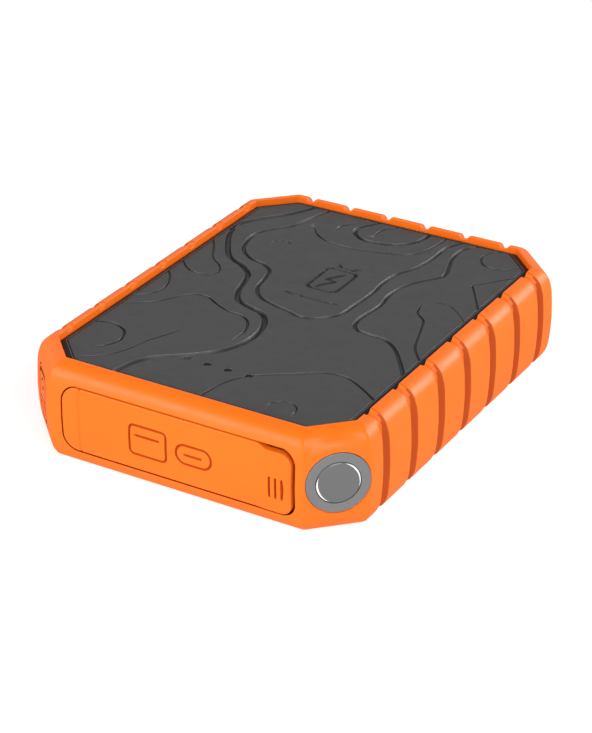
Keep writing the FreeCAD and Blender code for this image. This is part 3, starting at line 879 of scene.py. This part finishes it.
def build_hinge_web():
    """Thin web across the bend, from the tab to the door."""
    z = np.linspace(DOOR_LOW[2] + 0.35, DOOR_HIGH[2] - 0.35, 30)
    x = HINGE_X + np.linspace(-0.55, 0.55, 13)
    xx, zz = np.meshgrid(x, z)
    outer = FRONT.at(xx, zz, skin_s(zz) - 0.14 - 0.06 * (np.abs(xx - HINGE_X) > 0.2))
    inner = FRONT.at(xx, zz, skin_s(zz) - 0.85)
    rows, columns = xx.shape
    n = rows * columns
    faces = [tuple(f) for f in tube_faces(rows, columns, False, False)]
    faces += [tuple(i + n for i in reversed(f)) for f in list(faces)]
    last = (rows - 1) * columns
    rim = list(range(columns)) + [i * columns + columns - 1 for i in range(1, rows)]
    rim += [last + j for j in range(columns - 2, -1, -1)] + [i * columns for i in range(rows - 2, 0, -1)]
    faces += [(a, b, b + n, a + n) for a, b in zip(rim, rim[1:] + rim[:1])]
    web = mesh_object("hinge_web", np.concatenate([outer.reshape(-1, 3), inner.reshape(-1, 3)]), faces)
    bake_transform(web)
    return web


def build_button():
    outline = rounded_outline(-BUTTON_HALF, BUTTON_HALF, BUTTON_LOW[2], BUTTON_HIGH[2], (2.5,) * 4)
    strokes = [Stroke([(-2.2, BUTTON_Z + dz), (2.2, BUTTON_Z + dz)], 0.46, 0.6, 0.45, smooth=False)
               for dz in (-4.4, -2.7, -1.0)]
    frame_line = rounded_outline(-4.1, 4.1, BUTTON_LOW[2] + 1.1, BUTTON_HIGH[2] - 1.1, (1.6,) * 4)
    strokes.append(Stroke(frame_line, 0.6, 0.6, 0.6, closed=True, smooth=False))
    ring = circle(0, BUTTON_Z + 3.4, 1.4, 24)
    strokes.append(Stroke(ring, 0.4, 0.55, 0.4, closed=True, smooth=False, step=0.3))
    pad = padded_piece("button_pad", BUTTON_CORNER, outline, strokes, 2.8, 0.35)
    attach(pad, "button")
    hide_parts("torch_button")
    return pad


# ---- torch

# angle of the middle, half the angle, radius and greatest width of each painted highlight arc
HIGHLIGHT_ARCS = [(25, 46, 5.52, 0.46), (202, 44, 5.50, 0.50)]


def lathe(name, section):
    """Turned piece on the torch's axis, from (radius, outward offset) points."""
    count = 128
    open_middle = section[0][0] > 0.05
    a = np.linspace(0, 2 * np.pi, count, endpoint=False)
    rings = [TORCH_CORNER.at(r * np.cos(a), TORCH_Z + r * np.sin(a), np.full(count, s)) for r, s in section]
    faces = [tuple(f) for f in tube_faces(len(rings), count, close_rows=open_middle)]
    verts = np.concatenate(rings)
    if not open_middle:
        faces += [tuple(range(count)), tuple(range(len(verts) - count, len(verts)))]
    return mesh_object(name, verts, faces)


GLASS_R = 5.78


def arc_section(cx, cy, r, start, end, n):
    a = np.radians(np.linspace(start, end, n))
    return [(cx + r * math.cos(t), cy + r * math.sin(t)) for t in a]


def build_torch():
    face = BULGE
    r = TORCH_R
    ring = [(5.9, face - 0.22)] + arc_section(6.05, face - 0.14, 0.14, 172, 95, 6)
    ring += [(6.3, face), (7.0, face), (7.8, face)]
    ring += arc_section(r - 0.22, face - 0.22, 0.22, 90, 0, 6)
    ring += [(r, CASE_S + 0.05), (5.88, CASE_S + 0.05)]
    bezel = lathe("torch_ring", ring)
    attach(bezel, "housing")
    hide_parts("torch_bezel")
    edge = GLASS_R
    dome = [(0.02, face + 0.2)]
    dome += [(q, face + 0.2 - 0.08 * (q / edge) ** 2) for q in (1.0, 2.2, 3.4, 4.2, 4.8)]
    dome += arc_section(edge - 0.62, face - 0.5, 0.62, 82, 6, 14) + [(edge, 3.2), (0.02, 3.2)]
    lens = lathe("torch_glass", dome)
    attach(lens, "housing")
    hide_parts("torch_lens")
    return bezel, lens


def mark_highlight_arcs(mesh):
    """Gives the second material to two tapering arcs on the glass's edge, as painted highlights."""
    centres = face_values(mesh, "center") / MM
    rel = centres[:, :2] - TORCH_CORNER.start
    u, z = rel @ TORCH_CORNER.along, centres[:, 2] - TORCH_Z
    front = rel @ TORCH_CORNER.out > BULGE - 0.6
    polished = np.zeros(len(centres), bool)
    for middle, half, radius, width in HIGHLIGHT_ARCS:
        turn = (np.degrees(np.arctan2(z, u)) - middle + 180) % 360 - 180
        reach = width / 2 * np.clip(1 - (turn / half) ** 2, 0, 1)
        polished |= front & (np.abs(np.hypot(u, z) - radius) < reach)
    mesh.polygons.foreach_set("material_index", polished.astype(np.int32))


# ---- socket contacts

def block_mesh(name, boxes, body, bevel):
    """Small bevelled blocks, in one piece. Each is (low corner, high corner)."""
    bm = bmesh.new()
    for low, high in boxes:
        made = bmesh.ops.create_cube(bm, size=1.0)["verts"]
        size = np.array(high) - np.array(low)
        centre = (np.array(high) + np.array(low)) / 2
        bmesh.ops.scale(bm, vec=Vector(size * MM), verts=made)
        bmesh.ops.translate(bm, vec=Vector(centre * MM), verts=made)
    bmesh.ops.bevel(bm, geom=bm.edges[:], offset=bevel * MM, segments=2, affect="EDGES", profile=0.5)
    mesh = bpy.data.meshes.new(name)
    bm.to_mesh(mesh)
    bm.free()
    smooth_with_edges(mesh, 40)
    obj = add_object(name, mesh)
    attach(obj, body)
    return obj


def build_contacts():
    made = []
    for i in (1, 2):
        low, high = box_mm("usb_a_tongue_%d" % i)
        middle = (low[0] + high[0]) / 2
        strips = [((middle + x - 0.5, low[1] + 0.8, low[2] - 0.07),
                   (middle + x + 0.5, high[1] - 0.6, low[2] + 0.05)) for x in (-3.5, -1.0, 1.0, 3.5)]
        made.append(block_mesh("usb_a_contacts_%d" % i, strips, "housing", 0.03))
    low, high = box_mm("usb_c_tongue")
    middle = (low[0] + high[0]) / 2
    pads = []
    for k in range(12):
        x = middle + (k - 5.5) * 0.5
        for z in (low[2], high[2]):
            pads.append(((x - 0.13, low[1] + 0.5, z - 0.03), (x + 0.13, low[1] + 3.6, z + 0.03)))
    made.append(block_mesh("usb_c_contacts", pads, "housing", 0.012))
    return made


# ---- materials

NOISE_LOW = 0.3
NOISE_HIGH = 0.7


def set_inputs(node, **values):
    """Sets inputs of a node. An underscore stands for a space in an input's name."""
    for key, value in values.items():
        node.inputs[key.replace("_", " ")].default_value = value


def new_material(name, base, roughness, metallic=0.0, **values):
    material = bpy.data.materials.new(name)
    material.use_nodes = True
    shader = material.node_tree.nodes["Principled BSDF"]
    set_inputs(shader, Base_Color=(*base, 1), Roughness=roughness, Metallic=metallic, **values)
    return material, shader


def noise(material, scale, detail):
    """Noise in object space. scale is in features per metre."""
    nodes = material.node_tree.nodes
    coords = nodes.new("ShaderNodeTexCoord")
    texture = nodes.new("ShaderNodeTexNoise")
    set_inputs(texture, Scale=scale, Detail=detail)
    material.node_tree.links.new(coords.outputs["Object"], texture.inputs["Vector"])
    return texture.outputs["Fac"]


def vary_roughness(material, shader, source, low, high):
    """Spreads a noise value over low to high."""
    node = material.node_tree.nodes.new("ShaderNodeMapRange")
    set_inputs(node, From_Min=NOISE_LOW, From_Max=NOISE_HIGH, To_Min=low, To_Max=high)
    material.node_tree.links.new(source, node.inputs["Value"])
    material.node_tree.links.new(node.outputs["Result"], shader.inputs["Roughness"])


def vary_colour(material, shader, source, base, spread):
    """Varies the colour either side of base with a noise value."""
    dark, light = [[min(1.0, c * (1 + sign * spread)) for c in base] for sign in (-1, 1)]
    ramp = material.node_tree.nodes.new("ShaderNodeValToRGB")
    for element, position, colour in zip(ramp.color_ramp.elements, (NOISE_LOW, NOISE_HIGH), (dark, light)):
        element.position = position
        element.color = (*colour, 1)
    material.node_tree.links.new(source, ramp.inputs["Fac"])
    material.node_tree.links.new(ramp.outputs["Color"], shader.inputs["Base Color"])


def add_bump(material, shader, source, height):
    """Bump of a real height in metres."""
    links = material.node_tree.links
    bump = material.node_tree.nodes.new("ShaderNodeBump")
    set_inputs(bump, Strength=1.0, Distance=height)
    links.new(source, bump.inputs["Height"])
    links.new(bump.outputs["Normal"], shader.inputs["Normal"])


def moulded(name, base, roughness, spread=0.06, grain=2600, height=0.00002, gloss=0.5):
    """Moulded plastic or rubber: fine grain, slight unevenness of tone and gloss."""
    material, shader = new_material(name, base, roughness, Specular_IOR_Level=gloss)
    vary_colour(material, shader, noise(material, 55, 4), base, spread)
    vary_roughness(material, shader, noise(material, 320, 4), roughness - 0.05, roughness + 0.05)
    add_bump(material, shader, noise(material, grain, 2), height)
    return material


def metal(name, base, roughness, grain=9000, height=0.000006):
    """Metal with a fine blasted surface."""
    material, shader = new_material(name, base, roughness, 1.0)
    vary_colour(material, shader, noise(material, 160, 4), base, 0.05)
    fine = noise(material, grain, 3)
    vary_roughness(material, shader, fine, roughness - 0.06, roughness + 0.08)
    add_bump(material, shader, fine, height)
    return material


ORANGE = (0.97, 0.163, 0.008)
# darker orange painted on groove walls as shade
ORANGE_GROOVE_SHADE = (0.48, 0.080, 0.012)
# darker orange painted inside the door's engraved strokes as shade
ENGRAVED_SHADE = (0.50, 0.070, 0.005)
SEAM_SHADE = (0.22, 0.034, 0.004)
# darker orange painted on the walls of the front pockets and in the button's marks as shade
LID_DARK = (0.052, 0.052, 0.0525)
# darker lid plastic painted on the border and inside the cuts as shade
LID_BORDER_SHADE = (0.010, 0.010, 0.011)
LID_CUT_SHADE = (0.018, 0.018, 0.0185)
LID_GRAIN = (2400, 0.00001)


def make_materials():
    found = {
        "orange": moulded("orange_rubber", ORANGE, 0.37, 0.03, 2600, 0.00001, gloss=0.25),
        # painted shade on the bumper's groove walls
        "orange_deep": moulded("orange_rubber_groove_shade", ORANGE_GROOVE_SHADE, 0.6, 0.03, gloss=0.15),
        "dark": moulded("dark_lid", LID_DARK, 0.52, 0.03, *LID_GRAIN, gloss=0.32),
        # painted shade on pocket walls and in the button's marks
        "seam": moulded("orange_rubber_seam_shade", SEAM_SHADE, 0.6, 0.03, gloss=0.1),
        # painted shade inside the door's strokes
        "engraved": moulded("orange_rubber_engraved_shade", ENGRAVED_SHADE, 0.5, 0.03, gloss=0.2),
        # painted shade on the lid's border and in its cuts
        "border": moulded("dark_lid_border_shade", LID_BORDER_SHADE, 0.5, 0.05, *LID_GRAIN, gloss=0.25),
        "cut": moulded("dark_lid_cut_shade", LID_CUT_SHADE, 0.45, 0.05, *LID_GRAIN, gloss=0.45),
        # lighter lid plastic painted on edges as highlights
        "bright_edge": moulded("dark_lid_edge_highlight", (0.085,) * 3, 0.4, 0.05, *LID_GRAIN),
        "tub": moulded("dark_tub", (0.024, 0.024, 0.025), 0.5, 0.08),
        "black": moulded("black_plastic", (0.012, 0.012, 0.013), 0.4, 0.1),
        "seal": moulded("seal_rubber", (0.09, 0.03, 0.012), 0.65, 0.08),
        "bezel": moulded("bezel_grey", (0.187,) * 3, 0.3, 0.03, 9000, 0.000003),
        "steel": metal("port_steel", (0.62, 0.62, 0.63), 0.26),
        "gold": metal("contact_gold", (0.83, 0.60, 0.25), 0.22),
        "chrome": metal("reflector", (0.85, 0.85, 0.86), 0.08),
        # near-white plastic painted on the torch glass's edge as highlight arcs
        "polished": moulded("painted_highlight_edge", (0.93,) * 3, 0.2, 0.02, 9000, 0.000002),
        "screw": metal("screw_black", (0.05, 0.05, 0.052), 0.38),
        "pouch": metal("cell_pouch", (0.60, 0.61, 0.62), 0.35, 700, 0.00003),
        "white": moulded("white_plastic", (0.78, 0.78, 0.76), 0.4),
        "board": moulded("board_green", (0.015, 0.11, 0.045), 0.35, 0.15),
        "foam": moulded("foam", (0.05, 0.05, 0.055), 0.9, 0.2, 1500, 0.0001),
        "red": moulded("wire_red", (0.5, 0.02, 0.015), 0.45),
        "ferrite": moulded("ferrite", (0.06, 0.06, 0.062), 0.6),
        "pipe": moulded("light_pipe", (0.010, 0.010, 0.011), 0.22, 0.1),
        "amber": moulded("phosphor", (0.85, 0.62, 0.12), 0.35),
    }
    grey = (0.150,) * 3
    lens, shader = new_material("torch_lens", grey, 0.12)
    vary_colour(lens, shader, noise(lens, 90, 2), grey, 0.004 / 0.150)
    vary_roughness(lens, shader, noise(lens, 500, 3), 0.08, 0.14)
    found["lens"] = lens
    return found


LOOK_SLOTS = {
    "orange": "orange_tpu orange_tpu_door orange_tpu_tab orange_tpu_button", "seal": "seal_rubber",
    "foam": "gasket_silicone foam",
    "black": "o_ring_rubber frame_plastic tongue_black chip_epoxy wire_black switch_plastic",
    "dark": "lid_plastic", "tub": "tub_plastic", "bezel": "bezel_metal", "lens": "lens_clear",
    "chrome": "reflector_metal", "white": "led_board_metal tongue_plastic stem_plastic led_white",
    "amber": "led_phosphor", "steel": "port_steel nickel capacitor_can", "board": "board_laminate",
    "screw": "screw_steel", "ferrite": "ferrite", "pouch": "cell_pouch", "red": "wire_red",
    "pipe": "light_pipe",
}
SLOT_LOOKS = {slot: look for look, slots in LOOK_SLOTS.items() for slot in slots.split()}


def dress_frame(looks):
    """Gives every CAD node its material and softens the edges of those that show."""
    for entry in frame["record"]["subparts"]:
        node = frame["nodes"][entry["node"]]
        node.data.materials.clear()
        node.data.materials.append(looks[SLOT_LOOKS[entry["material_slot"]]])
        if entry["node"] in ("bottom_shell", "port_frame", "door_seal", "usb_a_tongue_1", "usb_a_tongue_2"):
            bevel = node.modifiers.new("soft_edges", "BEVEL")
            bevel.width = 0.00012
            bevel.segments = 2
            bevel.limit_method = "ANGLE"
            bevel.angle_limit = math.radians(40)
            bevel.harden_normals = True


# ---- floor, light, camera

FLOOR_Z = -0.0001


def build_stage():
    size = 3.0
    mesh = bpy.data.meshes.new("floor")
    corners = [(x * size, y * size, FLOOR_Z) for x, y in ((-1, -1), (1, -1), (1, 1), (-1, 1))]
    mesh.from_pydata(corners, [], [(0, 1, 2, 3)])
    floor = add_object("floor", mesh)
    looks = {"Emission_Color": (1, 1, 1, 1), "Emission_Strength": 0.74, "Specular_IOR_Level": 0.0}
    mesh.materials.append(new_material("floor_white", (0.36,) * 3, 0.8, **looks)[0])
    floor.visible_glossy = False


def area_light(name, location, size, watts):
    """Lamp that points at the origin."""
    data = bpy.data.lights.new(name, "AREA")
    data.shape = "RECTANGLE"
    data.size, data.size_y = size
    data.energy = watts
    lamp = add_object(name, data)
    lamp.location = location
    lamp.rotation_mode = "QUATERNION"
    lamp.rotation_quaternion = Vector(location).to_track_quat("Z", "Y")


def light_scene():
    world = bpy.data.worlds.new("studio")
    bpy.context.scene.world = world
    world.use_nodes = True
    nodes, links = world.node_tree.nodes, world.node_tree.links
    coords = nodes.new("ShaderNodeTexCoord")
    split = nodes.new("ShaderNodeSeparateXYZ")
    ramp = nodes.new("ShaderNodeValToRGB")
    elements = ramp.color_ramp.elements
    elements[1].position = 0.85
    for element, grey in ((elements[0], 0.3), (elements[1], 0.15)):
        element.color = (grey, grey, grey, 1)
    for position in (0.04, 0.3):
        elements.new(position).color = (0.95, 0.95, 0.95, 1)
    links.new(coords.outputs["Generated"], split.inputs["Vector"])
    links.new(split.outputs["Z"], ramp.inputs["Fac"])
    links.new(ramp.outputs["Color"], nodes["Background"].inputs["Color"])
    nodes["Background"].inputs["Strength"].default_value = 0.85
    area_light("front_light", (-0.72, -0.94, 0.50), (0.8, 0.62), 9)
    area_light("fill_light", (0.78, -0.68, 0.78), (0.7, 0.7), 9.4)
    area_light("back_light", (0.76, 0.95, 0.45), (0.6, 0.6), 9)


CAMERA_AZ = 30.472
CAMERA_EL = 28.185
CAMERA_DISTANCE = 624.43
CAMERA_SHIFT = (-1.583, -18.06)
CAMERA_LENS = 113.519


def make_camera():
    az, el = math.radians(CAMERA_AZ), math.radians(CAMERA_EL)
    back = Vector((math.sin(az) * math.cos(el), -math.cos(az) * math.cos(el), math.sin(el)))
    right = Vector((math.cos(az), math.sin(az), 0))
    up = back.cross(right)
    place = Vector((0, 0, HEIGHT)) + CAMERA_DISTANCE * back + CAMERA_SHIFT[0] * right + CAMERA_SHIFT[1] * up
    data = bpy.data.cameras.new("camera")
    data.lens = CAMERA_LENS
    data.sensor_fit = "AUTO"
    data.sensor_width = 36
    data.clip_start, data.clip_end = 0.01, 20
    camera = add_object("camera", data)
    turn = Matrix((right, up, back)).transposed().to_4x4()
    camera.matrix_world = Matrix.Translation(place * MM) @ turn
    bpy.context.scene.camera = camera


# ---- assembly

looks = make_materials()
dress_frame(looks)
bumper = build_bumper()
lid = build_lid()
door, tab = build_door()
web = build_hinge_web()
pad = build_button()
bezel, lens = build_torch()
contacts = build_contacts()
bumper.data.materials.clear()
PIECE_LOOKS = [(bumper, "orange orange_deep seam"), (lid, "dark border cut bright_edge"),
               (door, "orange engraved"), (tab, "orange"), (web, "orange"), (pad, "orange seam"),
               (bezel, "bezel"), (lens, "lens polished")] + [(piece, "gold") for piece in contacts]
for piece, names in PIECE_LOOKS:
    for look in names.split():
        piece.data.materials.append(looks[look])
mark_steep_walls(bumper.data)
mark_highlight_arcs(lens.data)
build_stage()
light_scene()
make_camera()
bpy.context.scene.view_settings.view_transform = "Standard"
